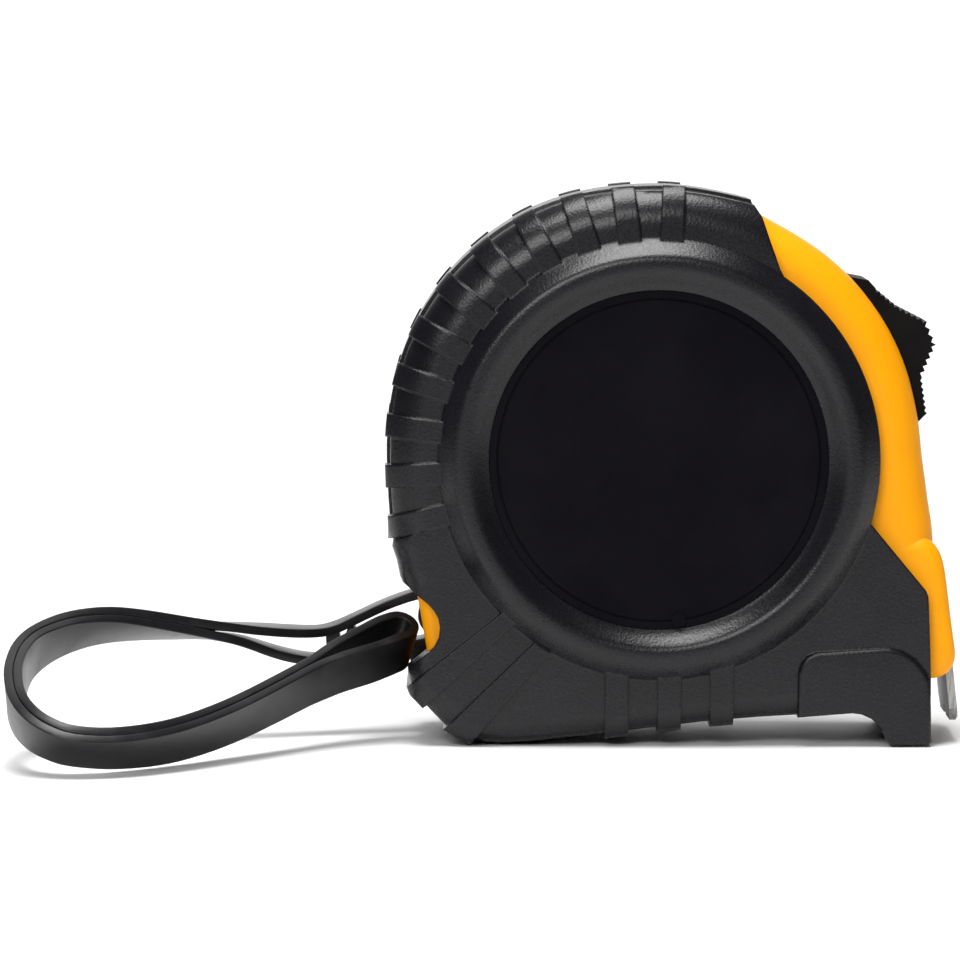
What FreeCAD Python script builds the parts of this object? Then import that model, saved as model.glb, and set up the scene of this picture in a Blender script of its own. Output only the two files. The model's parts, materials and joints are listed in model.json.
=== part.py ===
import FreeCAD, Part
import math
import os

# A 5 m pocket tape measure with a rubber grip, a thumb lock and a wrist strap.
# Everything is drawn about the spool: X runs forward from the spool's axis, Y across the
# case and Z up from the ground. place() then moves it so X = 0 is the middle of the foot.

FOOT_X = 32.2
AXIS_Z = 36.62

# the two case shells
SHELL_HALF = 12.8
SHELL_FRONT_ROUND = 4.5
SHELL_REAR_ROUND = 1.4
NOSE_ROUND = 1.8
CAVITY_R = 28.3
CAVITY_HALF = 10.6
ROUND_SPLIT_X = 4.0

# the rubber grip
GRIP_HALF = 14.6
GRIP_ROUND = 3.0
RUBBER = 1.5
RIB_RISE = 0.7
RIB_SIDE_RISE = 0.45
BAND_RISE = 0.5
BAND_HALF = 7.4
BAND_GROOVE = 1.0
ARCH_RIBS = 11
ARCH_RIB_FIRST = 86.8
ARCH_RIB_STEP = 10.76
ARCH_RIB_WIDTH = 2.9
ARCH_RIB_INNER = 27.3
LOWER_RIB_X = (-5.35, 1.4, 8.1)
LOWER_RIB_WIDTH = 3.0
FOOT_HALF = 15.2
SHOULDER_R = 5.8
SHOULDER_OUT = 35.4
SHOULDER_FIRST = 50.0
SHOULDER_LAST = 197.0

# the round boss and the disc in it
BOSS_BASE_R = 28.3
BOSS_CREST_HALF = 17.0
DISC_R = 21.6
DISC_HALF = 15.3
DISC_LINE_R = 20.6
NUB_R = 0.9

# spool, coil and spring
POST_R = 4.0
RUN = 0.05
DRUM_OUT = 20.85
DRUM_IN = 19.6
DRUM_HALF = 9.6
WEB = 1.0
COIL_R = 26.4
BLADE_HALF = 9.5
SPRING_HALF = 8.3
SPRING_TURNS = 8
SPRING_FACETS = 30
SPRING_THICK = 0.4

# blade, hook and mouth
BLADE_EDGE_Z = 9.9
BLADE_SAG = 1.1
BLADE_THICK = 0.2
BLADE_TAIL_X = -11.0
BLADE_END_X = 36.6
MOUTH_HALF = 9.9
MOUTH_FLOOR = 7.9
MOUTH_ROOF = 12.6
LIP_X = 34.9
HOOK_THICK = 1.0
HOOK_HALF = 9.6
HOOK_TOP_X = 37.9
HOOK_FOOT_X = 38.75
HOOK_FOOT_Z = 2.6
HOOK_BACK_X = 28.6
HOOK_PLAY = 1.0
RIVET_R = 1.1
RIVET_HEAD_R = 2.0
RIVET_HEAD = 0.6
RIVET_TAIL = 0.35
GUIDE_BACK_X = 24.0
GUIDE_THICK = 1.2
BUMPER_BACK_X = 33.6
BUMPER_FRONT_X = 36.6
BUMPER_HALF = 8.0
BUMPER_PROUD = 0.2
BUMPER_SUNK = 1.6

# thumb lock, which slides on an arc
LOCK_X = -3.37
LOCK_Z = 33.78
LOCK_FLOOR_R = 36.4
LOCK_SWING = 8.0
LOCK_HALF = 7.8
LOCK_CHANNEL_HALF = 7.9
ARM_IN = 31.2
ARM_OUT = 32.8
ARM_HALF = 5.0
ARM_TOP = 38.0
ARM_END = -33.5
STEM_HALF = 3.0
STEM_FROM = 20.0
STEM_TO = 30.0

# strap
PIN_X = -28.2
PIN_Z = 15.3
PIN_R = 1.5
PIN_HALF = 9.5
POCKET_HALF = 7.2
POCKET_R = 4.6
POCKET_LOW = 8.5
STRAP_WIDE = 6.4
STRAP_LAYER = 1.15
STRAP_JOIN = 0.12
STRAP_EYE_Y = 3.4
STRAP_EYE_R = 4.25
BAR_BACK_X = -42.8
BAR_FRONT_X = -41.0
BAR_Y = 0.8
BAR_LOW = 9.9
BAR_TOP = 13.6

# belt clip and screws
CLIP_HALF = 8.0
CLIP_THICK = 1.0
SCREW_R = 1.3
SCREW_HEAD_R = 2.4
SCREW_HEAD = 1.6
CLIP_SCREW_HEAD = 1.0
DRIVE_DEPTH = 0.7
DRIVE_R = 1.6
DRIVE_SLOT = 0.6
SCREW_SINK = 11.4
SCREW_TIP = -9.0
SCREWS = {
    "screw_front": (31.4, 19.2),
    "screw_top": (7.6, 66.6),
    "screw_rear": (-19.5, 6.6),
}

# the grip's arch as angle and radius about the spool
ARCH = (
    (56, 35.1), (62, 35.0), (68, 34.75), (74, 34.45), (80, 34.35), (88, 34.35), (96, 34.4),
    (104, 34.65), (112, 34.95), (120, 35.15), (128, 35.2), (136, 35.2), (144, 35.15),
    (152, 35.05), (160, 34.85), (168, 34.6), (176, 34.4), (184, 34.35), (190, 34.6), (196, 35.3),
)

# the yellow front as seen from the side, top to nose
FRONT = (
    (11.5, 68.75), (13.1, 67.78), (15.18, 66.62), (17.31, 65.45), (19.39, 64.15), (21.25, 62.83),
    (23.07, 61.31), (24.84, 59.6), (27.1, 56.9), (29.2, 53.8), (30.9, 50.5), (32.2, 47.0),
    (33.1, 43.4), (33.6, 40.5), (33.83, 38.28), (34.09, 35.93), (34.44, 33.54), (34.77, 31.08),
    (35.19, 28.5), (35.4, 26.5), (35.4, 24.0), (34.9, 20.0),
)
CORE_UNDER = (
    (34.0, 9.0), (33.4, 8.3), (33.4, 6.2), (26.0, 6.0), (20.0, 5.6), (13.0, 5.2), (5.4, 4.6),
    (-1.0, 3.8), (-7.4, 3.0), (-12.6, 2.4), (-19.5, 1.9), (-22.0, 2.0), (-25.0, 3.0),
    (-29.3, 7.4), (-29.8, 9.4), (-29.62, 11.86), (-30.3, 15.7), (-30.95, 19.5), (-31.8, 22.5),
)
NOSE = (
    (30.0, 26.6), (33.8, 26.5), (35.0, 26.0), (35.9, 25.0), (36.5, 23.6), (36.85, 22.0),
    (37.1, 20.2), (37.35, 18.2), (37.7, 15.4), (38.1, 12.6), (38.2, 11.4), (38.0, 10.2),
    (37.4, 9.2), (36.4, 8.55), (35.2, 8.3), (33.5, 8.25), (30.0, 8.2),
)
SKIRT = (
    (-34.1, 25.4), (-33.5, 23.6), (-33.1, 21.6), (-32.5, 20.2), (-32.3, 15.3), (-32.1, 9.6),
    (-31.9, 8.2), (-31.2, 6.4), (-26.4, 1.4), (-24.6, 0.55), (-22.0, 0.16), (-19.5, 0.06),
    (-16.0, 0.26), (-12.6, 0.66), (-7.4, 1.2), (-1.0, 2.0), (5.4, 2.75), (13.0, 3.4),
    (20.0, 3.8), (26.0, 4.1), (42.0, 4.3), (42.0, 50.0),
)
EAR_WINDOW = (
    (-38.0, 22.5), (-33.4, 21.3), (-32.1, 20.35), (-30.95, 19.3), (-29.5, 18.2), (-28.7, 17.3),
    (-28.15, 16.3), (-27.95, 15.1), (-28.1, 13.8), (-28.7, 12.6), (-29.6, 11.8), (-31.0, 10.7),
    (-32.0, 9.9), (-38.0, 9.0),
)
FOOT = (
    (17.8, 3.6), (17.85, 9.2), (18.2, 10.5), (19.0, 11.5), (20.2, 12.0), (29.2, 12.5),
    (31.2, 12.1), (32.9, 11.0), (34.1, 9.5), (34.8, 8.1), (34.95, 0.5), (34.6, 0.0),
    (29.8, 0.0), (29.3, 0.5), (28.5, 2.2), (27.3, 3.4), (26.0, 4.0), (24.8, 4.15),
)
CORNER_RIBS = (
    ((-20.0, 17.1), (-32.6, 7.1), (-30.2, 4.6), (-17.6, 16.3)),
    ((-15.8, 13.3), (-27.6, 1.9), (-24.2, 0.0), (-13.8, 12.0)),
)

# the thumb lock seen from the side: outer edge from its top to its lower end
LOCK_TOP = ((25.0, 59.7), (27.1, 59.3), (28.0, 58.3))
LOCK_NOSE = ((34.6, 54.0), (35.8, 51.0), (34.0, 46.8))
LOCK_LOW = ((34.65, 42.2), (33.65, 41.2))

# the belt clip's bent strip seen from the front, as Y and Z
CLIP_SIDE = (
    (15.3, 30.0), (15.3, 52.5), (16.0, 54.2), (17.6, 55.0), (19.3, 54.4), (20.2, 52.6),
    (20.2, 50.0), (17.6, 26.0), (17.6, 24.6), (19.0, 21.0),
)

# strap stations: X, Y, Z of the middle and the lean of the width from upright
STRAP_MAIN = (
    (-44.7, -17.8, 8.5, 46), (-52.4, -28.5, 5.5, 51), (-59.6, -38.0, 3.65, 55),
    (-66.9, -45.2, 3.2, 56), (-73.6, -47.2, 3.8, 52), (-78.0, -44.4, 5.6, 48),
    (-80.3, -38.4, 7.8, 46), (-80.9, -31.0, 10.3, 48), (-79.8, -23.6, 12.6, 52),
    (-76.2, -17.4, 14.4, 57), (-71.0, -12.8, 15.2, 63), (-64.7, -9.2, 14.8, 72),
    (-57.2, -6.2, 13.9, 84),
)
STRAP_UPPER = (
    (-58.3, -6.7, 14.6, 82), (-56.9, -6.1, 14.5, 84), (-53.3, -4.2, 14.1, 88),
    (-49.4, -2.4, 13.7, 90), (-45.5, -0.6, 13.4, 90), (-42.4, 0.8, 13.6, 90),
    (-39.2, 2.0, 14.8, 90), (-35.6, 3.0, 16.4, 90), (-32.0, 3.4, 17.7, 90),
    (-28.6, 3.4, 18.5, 90),
)
STRAP_LOWER = (
    (-58.3, -6.7, 13.4, 82), (-56.9, -6.1, 13.2, 84), (-53.3, -4.2, 12.3, 88),
    (-49.4, -2.4, 10.9, 90), (-45.5, -0.6, 9.9, 90), (-42.4, 0.8, 9.7, 90),
    (-39.2, 2.0, 9.9, 90), (-35.6, 3.0, 10.6, 90), (-32.0, 3.4, 11.4, 90),
    (-28.6, 3.4, 12.05, 90),
)
# the folded far end: as above, with half the gap between its two layers
STRAP_FOLD = (
    (-45.6, -19.1, 8.15, 46, 0.58), (-44.7, -17.8, 8.5, 46, 0.62),
    (-41.2, -13.4, 10.0, 46, 1.2), (-37.6, -9.6, 11.2, 46, 1.75),
    (-34.8, -6.8, 12.2, 46, 2.05), (-33.3, -5.5, 12.7, 46, 2.05),
)


def vec(x, y, z):
    return FreeCAD.Vector(x, y, z)


def polar(angle, radius, x=0.0, z=AXIS_Z):
    a = math.radians(angle)
    return (x + radius * math.cos(a), z + radius * math.sin(a))


def arch(rise):
    return [polar(angle, radius + rise) for angle, radius in ARCH]


def offset(points, out):
    # moves every corner of a closed outline outward by the same wall distance
    area = 0.0
    count = len(points)
    for i in range(count):
        x0, z0 = points[i]
        x1, z1 = points[(i + 1) % count]
        area += x0 * z1 - x1 * z0
    side = 1.0 if area > 0 else -1.0
    moved = []
    for i in range(count):
        xa, za = points[i - 1]
        xb, zb = points[i]
        xc, zc = points[(i + 1) % count]
        la = math.hypot(xb - xa, zb - za)
        lc = math.hypot(xc - xb, zc - zb)
        nax, naz = side * (zb - za) / la, -side * (xb - xa) / la
        ncx, ncz = side * (zc - zb) / lc, -side * (xc - xb) / lc
        nx, nz = nax + ncx, naz + ncz
        scale = max(nx * nx + nz * nz, 1.0)
        moved.append((xb + 2 * out * nx / scale, zb + 2 * out * nz / scale))
    return moved


def outline_wire(points, curved, y):
    # curved lists (first, last) index pairs that become one smooth edge, the rest are straight
    ends = {first: last for first, last in curved}
    spots = [vec(x, y, z) for x, z in points]
    edges = []
    i = 0
    while i < len(spots):
        last = ends.get(i, i + 1)
        run = [spots[k % len(spots)] for k in range(i, last + 1)]
        if len(run) > 2:
            curve = Part.BSplineCurve()
            curve.interpolate(run)
            edges.append(curve.toShape())
        else:
            edges.append(Part.makeLine(run[0], run[1]))
        i = last
    return Part.Wire(edges)


def prism(points, y0, y1, curved=()):
    face = Part.Face(outline_wire(points, curved, y0))
    return face.extrude(vec(0, y1 - y0, 0))


def rounded_prism(points, half, radius, curved=(), steps=5):
    # a slab from -half to +half with its two rims rounded
    body = prism(points, -(half - radius), half - radius, curved)
    for way in (-1, 1):
        rings = []
        for k in range(steps + 1):
            a = math.pi / 2 * k / steps
            y = way * (half - radius + radius * math.sin(a))
            inset = -radius * (1 - math.cos(a))
            rings.append(outline_wire(offset(points, inset), curved, y))
        body = body.fuse(Part.makeLoft(rings, True, False))
    return body.removeSplitter()


def slab(x0, x1, y0, y1, z0, z1):
    return Part.makeBox(x1 - x0, y1 - y0, z1 - z0, vec(x0, y0, z0))


def rod(x, z, radius, y0, y1):
    return Part.makeCylinder(radius, y1 - y0, vec(x, y0, z), vec(0, 1, 0))


def ring(x, z, inner, outer, y0, y1):
    return rod(x, z, outer, y0, y1).cut(rod(x, z, inner, y0 - 1, y1 + 1))


def arc_band(inner, outer, a0, a1, half):
    # a curved bar about the thumb lock's centre
    turn = vec(0, -1, 0)
    x0, z0 = polar(a0, inner, LOCK_X, LOCK_Z)
    x1, z1 = polar(a0, outer, LOCK_X, LOCK_Z)
    flat = Part.makePolygon([vec(x0, -half, z0), vec(x1, -half, z1), vec(x1, half, z1),
                             vec(x0, half, z0), vec(x0, -half, z0)])
    return Part.Face(flat).revolve(vec(LOCK_X, 0, LOCK_Z), turn, a1 - a0)


def turned(profile, x, z):
    # spins (radius, y) pairs round a line across the case
    spots = [vec(x + r, y, z) for r, y in profile]
    face = Part.Face(Part.makePolygon(spots + spots[:1]))
    return face.revolve(vec(x, 0, z), vec(0, 1, 0), 360)


def halves(shape):
    big = 200.0
    left = shape.common(slab(-big, big, -big, 0, -big, big))
    right = shape.common(slab(-big, big, 0, big, -big, big))
    return left, right


def blade_section(low, thick, half, x0, x1):
    # a strip whose cross section is an arc, middle lowest; low is the middle's underside
    centre = vec(x0, 0, low + BLADE_CURVE)
    shell = Part.makeCylinder(BLADE_CURVE, x1 - x0, centre, vec(1, 0, 0))
    hollow = Part.makeCylinder(BLADE_CURVE - thick, x1 - x0, centre, vec(1, 0, 0))
    return shell.cut(hollow).common(slab(x0, x1, -half, half, low - 1, low + 4))


def make_core():
    arch_part = [p for p in reversed(arch(-RUBBER)) if p[0] < 10.5 and p[1] > 25.0]
    points = list(FRONT) + list(CORE_UNDER) + arch_part
    last_front = len(FRONT) - 1
    first_arch = len(FRONT) + len(CORE_UNDER) - 1
    curved = ((0, last_front), (first_arch, len(points)))
    front = rounded_prism(points, SHELL_HALF, SHELL_FRONT_ROUND, curved)
    rear = rounded_prism(points, SHELL_HALF, SHELL_REAR_ROUND, curved)
    front = front.common(slab(ROUND_SPLIT_X, 60, -20, 20, -5, 90))
    rear = rear.common(slab(-60, ROUND_SPLIT_X, -20, 20, -5, 90))
    nose = rounded_prism(NOSE, SHELL_HALF, NOSE_ROUND, ((1, len(NOSE) - 2),))
    return front.fuse(rear).fuse(nose).removeSplitter()


def make_guide():
    half = MOUTH_HALF - 0.1
    return slab(GUIDE_BACK_X, LIP_X, -half, half, MOUTH_FLOOR - GUIDE_THICK, MOUTH_FLOOR)


def make_bumper():
    return slab(BUMPER_BACK_X, BUMPER_FRONT_X, -BUMPER_HALF, BUMPER_HALF,
                MOUTH_ROOF - BUMPER_PROUD, MOUTH_ROOF + BUMPER_SUNK)


def pocket_mouth():
    # the opening behind the pin that the strap comes out of
    return slab(-60, PIN_X, -POCKET_HALF, POCKET_HALF, POCKET_LOW, PIN_Z + POCKET_R)


def make_shells(core):
    body = core.cut(rod(0, AXIS_Z, CAVITY_R, -CAVITY_HALF, CAVITY_HALF))
    body = body.cut(slab(BLADE_TAIL_X - 0.6, 60, -MOUTH_HALF, MOUTH_HALF, MOUTH_FLOOR,
                         MOUTH_ROOF))
    body = body.cut(make_guide()).cut(make_bumper())
    body = body.cut(slab(LIP_X, 60, -MOUTH_HALF, MOUTH_HALF, 0, MOUTH_ROOF))
    body = body.cut(arc_band(LOCK_FLOOR_R, 60, 1.0, 44.5, LOCK_CHANNEL_HALF))
    body = body.cut(arc_band(ARM_IN - 0.4, ARM_OUT + 0.1, ARM_END - LOCK_SWING - 8,
                             ARM_TOP + 1.5, ARM_HALF + 0.1))
    body = body.cut(arc_band(ARM_OUT - 1, LOCK_FLOOR_R + 1, STEM_FROM - LOCK_SWING - 0.5,
                             STEM_TO + 0.5, STEM_HALF + 0.1))
    body = body.cut(rod(PIN_X, PIN_Z, POCKET_R, -POCKET_HALF, POCKET_HALF))
    body = body.cut(pocket_mouth())
    body = body.cut(rod(PIN_X, PIN_Z, PIN_R, -PIN_HALF, PIN_HALF))
    for x, z in SCREWS.values():
        body = body.cut(rod(x, z, SCREW_R, SCREW_TIP, 20))
        body = body.cut(rod(x, z, SCREW_HEAD_R, SCREW_SINK - SCREW_HEAD, 20))
    body = body.cut(rod(0, AXIS_Z, SCREW_R, 10, 20))
    return halves(body)


def beyond_shoulder(rise, side_rise):
    # what lies outside the broad round that runs along the arch on both sides
    outer = SHOULDER_OUT + rise
    top = GRIP_HALF + side_rise + 0.02
    low = top - SHOULDER_R
    corner = SHOULDER_R * math.sqrt(0.5)
    centre = vec(0, 0, AXIS_Z)
    turn = vec(0, -1, 0)
    pieces = []
    for way in (-1, 1):
        start = vec(outer, way * low, AXIS_Z)
        middle = vec(outer - SHOULDER_R + corner, way * (low + corner), AXIS_Z)
        end = vec(outer - SHOULDER_R, way * top, AXIS_Z)
        rim = [end, vec(end.x, way * (top + 5), AXIS_Z), vec(outer + 9, way * (top + 5), AXIS_Z),
               vec(outer + 9, way * low, AXIS_Z), start]
        edges = [Part.Arc(start, middle, end).toShape()]
        for a, b in zip(rim[:-1], rim[1:]):
            edges.append(Part.makeLine(a, b))
        face = Part.Face(Part.Wire(edges))
        face.rotate(centre, turn, SHOULDER_FIRST)
        pieces.append(face.revolve(centre, turn, SHOULDER_LAST - SHOULDER_FIRST))
    return Part.makeCompound(pieces)


def make_grips(core):
    skirt = list(SKIRT)
    body_points = arch(0) + skirt
    n_arch = len(ARCH)
    curved = ((0, n_arch),)
    base = rounded_prism(body_points, GRIP_HALF, GRIP_ROUND, curved)
    base = base.cut(beyond_shoulder(0, 0))
    rib_body = rounded_prism(offset(body_points, RIB_RISE), GRIP_HALF + RIB_SIDE_RISE,
                             GRIP_ROUND, curved)
    band = prism(offset(body_points, BAND_RISE), -BAND_HALF, BAND_HALF, curved)
    band = band.common(prism([(60, 60), (60, 100), (-60, 100), (-60, 27), (-20, 27)], -20, 20))
    bars = []
    for k in range(ARCH_RIBS):
        bar = slab(ARCH_RIB_INNER, 45, -20, 20, -ARCH_RIB_WIDTH / 2, ARCH_RIB_WIDTH / 2)
        bar.rotate(vec(0, 0, 0), vec(0, -1, 0), ARCH_RIB_FIRST + k * ARCH_RIB_STEP)
        bar.translate(vec(0, 0, AXIS_Z))
        bars.append(bar)
    arch_ribs = rib_body.common(Part.makeCompound(bars))
    clear = BAND_HALF + BAND_GROOVE
    arch_ribs = arch_ribs.cut(slab(-60, 60, -clear, clear, 0, 90))
    arch_ribs = arch_ribs.cut(beyond_shoulder(RIB_RISE, RIB_SIDE_RISE))
    lower = [slab(x - LOWER_RIB_WIDTH / 2, x + LOWER_RIB_WIDTH / 2, -20, 20, -5, 12)
             for x in LOWER_RIB_X]
    low_ribs = rib_body.common(Part.makeCompound(lower))
    corner = [prism(quad, -20, 20) for quad in CORNER_RIBS]
    corner_ribs = rib_body.common(Part.makeCompound(corner))
    foot = rounded_prism(FOOT, FOOT_HALF, 0.5)
    mask = prism([(12.0, 69.4), (11.6, 80), (-60, 80), (-60, -5), (34.9, -5), (34.86, 8.4),
                  (34.7, 13.6), (34.48, 19.1), (34.16, 19.9), (27.3, 28.2), (24, 30), (14, 55),
                  (15.9, 60.0), (15.4, 61.0), (14.3, 64.1), (13.2, 67.5)], -20, 20)
    grip = base.fuse([band, arch_ribs, low_ribs, corner_ribs]).common(mask).fuse(foot)
    boss_shape = ((BOSS_BASE_R, SHELL_HALF), (BOSS_BASE_R, 14.6), (28.0, 14.95), (26.4, 16.6),
                  (26.0, 16.9), (25.5, BOSS_CREST_HALF), (24.5, BOSS_CREST_HALF),
                  (24.0, 16.92), (23.6, 16.65), (22.0, 15.35), (DISC_R, DISC_HALF - 0.1),
                  (DISC_R, SHELL_HALF))
    for way in (-1, 1):
        grip = grip.fuse(turned([(r, way * y) for r, y in boss_shape], 0, AXIS_Z))
    grip = grip.cut(core)
    grip = grip.cut(rod(0, AXIS_Z, DISC_R, -20, 20))
    grip = grip.cut(prism(EAR_WINDOW, -20, 20))
    grip = grip.cut(pocket_mouth()).cut(make_guide())
    grip = grip.cut(slab(GUIDE_BACK_X, 60, -MOUTH_HALF, MOUTH_HALF, MOUTH_FLOOR, MOUTH_ROOF))
    grip = grip.cut(slab(-60, 60, -20, 20, -5, 0))
    for x, z in SCREWS.values():
        grip = grip.cut(rod(x, z, SCREW_HEAD_R + 0.3, 5, 20))
    return halves(grip)


def make_disc(way):
    profile = ((0, SHELL_HALF), (DISC_R, SHELL_HALF), (DISC_R, DISC_HALF),
               (DISC_LINE_R + 0.2, DISC_HALF), (DISC_LINE_R, DISC_HALF - 0.2),
               (DISC_LINE_R - 0.2, DISC_HALF), (0, DISC_HALF))
    disc = turned([(r, way * y) for r, y in profile], 0, AXIS_Z)
    x, z = polar(-83, DISC_R - 0.1 - NUB_R)
    low, high = sorted((way * (DISC_HALF - 0.5), way * (DISC_HALF + 0.3)))
    nub = rod(x, z, NUB_R, low, high)
    return disc.fuse(nub)


def make_spring():
    inner_side = []
    outer_side = []
    steps = SPRING_TURNS * SPRING_FACETS
    inner = POST_R + 0.8
    grow = DRUM_IN - 0.6 - inner - SPRING_THICK
    for k in range(steps + 1):
        a = 360.0 * k / SPRING_FACETS
        x, z = polar(a, inner + grow * k / steps)
        inner_side.append(vec(x, -SPRING_HALF, z))
        x, z = polar(a, inner + grow * k / steps + SPRING_THICK)
        outer_side.append(vec(x, -SPRING_HALF, z))
    loop = inner_side + outer_side[::-1]
    return Part.Face(Part.makePolygon(loop + loop[:1])).extrude(vec(0, 2 * SPRING_HALF, 0))


def make_hook(low):
    plate = blade_section(low + BLADE_THICK + 0.03, HOOK_THICK * 0.8, 7.5, HOOK_BACK_X, 38.0)
    top = low + BLADE_THICK + 2.2
    leg = Part.makePolygon([vec(HOOK_TOP_X - HOOK_THICK, 0, top), vec(HOOK_TOP_X, 0, top),
                            vec(HOOK_FOOT_X, 0, HOOK_FOOT_Z + 0.5),
                            vec(HOOK_FOOT_X - 0.25, 0, HOOK_FOOT_Z),
                            vec(HOOK_FOOT_X - HOOK_THICK, 0, HOOK_FOOT_Z),
                            vec(HOOK_TOP_X - HOOK_THICK, 0, top)])
    leg = Part.Face(leg).extrude(vec(0, 2 * HOOK_HALF, 0))
    leg.translate(vec(0, -HOOK_HALF, 0))
    cross = [(-HOOK_HALF, top), (-HOOK_HALF, HOOK_FOOT_Z + 1.6), (-HOOK_HALF + 1.6, HOOK_FOOT_Z),
             (-1.6, HOOK_FOOT_Z), (-1.1, HOOK_FOOT_Z + 1.2), (1.1, HOOK_FOOT_Z + 1.2),
             (1.6, HOOK_FOOT_Z), (HOOK_HALF - 1.6, HOOK_FOOT_Z),
             (HOOK_HALF, HOOK_FOOT_Z + 1.6), (HOOK_HALF, top)]
    face = Part.Face(Part.makePolygon([vec(30, y, z) for y, z in cross + cross[:1]]))
    leg = leg.common(face.extrude(vec(20, 0, 0)))
    hook = leg.fuse(plate.common(slab(0, HOOK_TOP_X - 0.2, -20, 20, 0, 30)))
    for x, y in RIVETS.values():
        slot = Part.makeCylinder(RIVET_R + RUN, 10, vec(x, y, 5))
        slot = slot.fuse(Part.makeCylinder(RIVET_R + RUN, 10, vec(x - HOOK_PLAY, y, 5)))
        slot = slot.fuse(slab(x - HOOK_PLAY, x, y - RIVET_R - RUN, y + RIVET_R + RUN, 5, 15))
        hook = hook.cut(slot)
    return hook


def make_rivet(x, y, radius):
    # radius is that of the blade's curve, whose slope lifts both flat heads off it
    low = BLADE_LOW + radius - math.sqrt(radius ** 2 - y ** 2)
    lift = RIVET_HEAD_R * abs(y) / radius + 0.02
    bottom = low - lift
    top = low + BLADE_THICK + HOOK_THICK * 0.8 + 0.1 + lift
    rivet = Part.makeCylinder(RIVET_R, top - bottom, vec(x, y, bottom))
    rivet = rivet.fuse(Part.makeCylinder(RIVET_HEAD_R, RIVET_HEAD, vec(x, y, top)))
    tail = Part.makeCylinder(RIVET_HEAD_R * 0.8, RIVET_TAIL, vec(x, y, bottom - RIVET_TAIL))
    return rivet.fuse(tail)


def lock_teeth(points, count, depth):
    # a row of small teeth along each straight run of points
    result = [points[0]]
    for (x0, z0), (x1, z1) in zip(points[:-1], points[1:]):
        length = math.hypot(x1 - x0, z1 - z0)
        nx, nz = (z1 - z0) / length, -(x1 - x0) / length
        each = max(1, round(count * length / 10))
        for k in range(each):
            mid = (k + 0.5) / each
            end = (k + 1) / each
            result.append((x0 + (x1 - x0) * mid - nx * depth, z0 + (z1 - z0) * mid - nz * depth))
            result.append((x0 + (x1 - x0) * end, z0 + (z1 - z0) * end))
    return result


def make_button():
    outer = list(LOCK_TOP)
    outer += lock_teeth([LOCK_TOP[-1], (30.9, 55.9), LOCK_NOSE[0]], 12, -0.35)[1:]
    outer += lock_teeth([LOCK_NOSE[0], LOCK_NOSE[1], LOCK_NOSE[2]], 10, -0.45)[1:]
    outer += lock_teeth([LOCK_NOSE[2], LOCK_LOW[0]], 12, -0.25)[1:]
    outer.append(LOCK_LOW[1])
    inner = [polar(a, LOCK_FLOOR_R + 0.06, LOCK_X, LOCK_Z) for a in range(11, 43, 2)]
    return prism(outer + inner, -LOCK_HALF, LOCK_HALF)


def smoothed(stations, parts=3):
    # passes a smooth line through every station and returns points along it
    gaps = [math.dist(a[:3], b[:3]) for a, b in zip(stations[:-1], stations[1:])]
    last = len(gaps)

    def slope(i):
        before = max(i - 1, 0)
        after = min(i + 1, last)
        length = sum(gaps[before:after])
        return [(b - a) / length for a, b in zip(stations[before], stations[after])]

    result = []
    for i in range(last):
        rows = list(zip(stations[i], stations[i + 1], slope(i), slope(i + 1)))
        for k in range(parts):
            t = k / parts
            h0 = 1 - 3 * t ** 2 + 2 * t ** 3
            g0 = (t - 2 * t ** 2 + t ** 3) * gaps[i]
            g1 = (t ** 3 - t ** 2) * gaps[i]
            result.append(tuple(a * h0 + b * (1 - h0) + g0 * ma + g1 * mb
                                for a, b, ma, mb in rows))
    result.append(stations[-1])
    return result


def strap_frames(stations):
    # middle, width and thickness directions at each station of a flat band
    frames = []
    count = len(stations)
    for i in range(count):
        x, y, z, lean = stations[i][:4]
        xa, ya, za = stations[max(i - 1, 0)][:3]
        xb, yb, zb = stations[min(i + 1, count - 1)][:3]
        along = vec(xb - xa, yb - ya, zb - za).normalize()
        lean = math.radians(lean)
        tilt = vec(0, -math.sin(lean), math.cos(lean))
        wide = (tilt - along * tilt.dot(along)).normalize()
        frames.append((vec(x, y, z), wide, along.cross(wide).normalize()))
    return frames


def flat_face(*corners):
    return Part.Face(Part.makePolygon(list(corners) + [corners[0]]))


def band_solid(frames, thick, width):
    rings = []
    for mid, wide, deep in frames:
        w = wide * (width / 2)
        t = deep * (thick / 2)
        rings.append([mid - w - t, mid + w - t, mid + w + t, mid - w + t])
    faces = [flat_face(*rings[0]), flat_face(*rings[-1])]
    for a, b in zip(rings[:-1], rings[1:]):
        for k in range(4):
            n = (k + 1) % 4
            faces.append(flat_face(a[k], a[n], b[n]))
            faces.append(flat_face(a[k], b[n], b[k]))
    shell = Part.Shell(faces)
    shell.sewShape()
    solid = Part.Solid(shell)
    if solid.Volume < 0:
        solid.reverse()
    return solid


def strap_fold():
    # out along one layer, round the end and back along the other
    stations = smoothed(STRAP_FOLD)
    frames = strap_frames(stations)
    gaps = [station[4] for station in stations]
    near = [(mid + deep * gap, wide, deep) for (mid, wide, deep), gap in zip(frames, gaps)]
    far = [(mid - deep * gap, wide, deep * -1) for (mid, wide, deep), gap in zip(frames, gaps)]
    mid, wide, deep = frames[-1]
    along = wide.cross(deep)
    turn = []
    for k in range(1, 8):
        a = math.pi / 2 - math.pi * k / 8
        out = along * math.cos(a) + deep * math.sin(a)
        turn.append((mid + out * gaps[-1], wide, out))
    return band_solid(near + turn + far[::-1], STRAP_LAYER, STRAP_WIDE)


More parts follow.
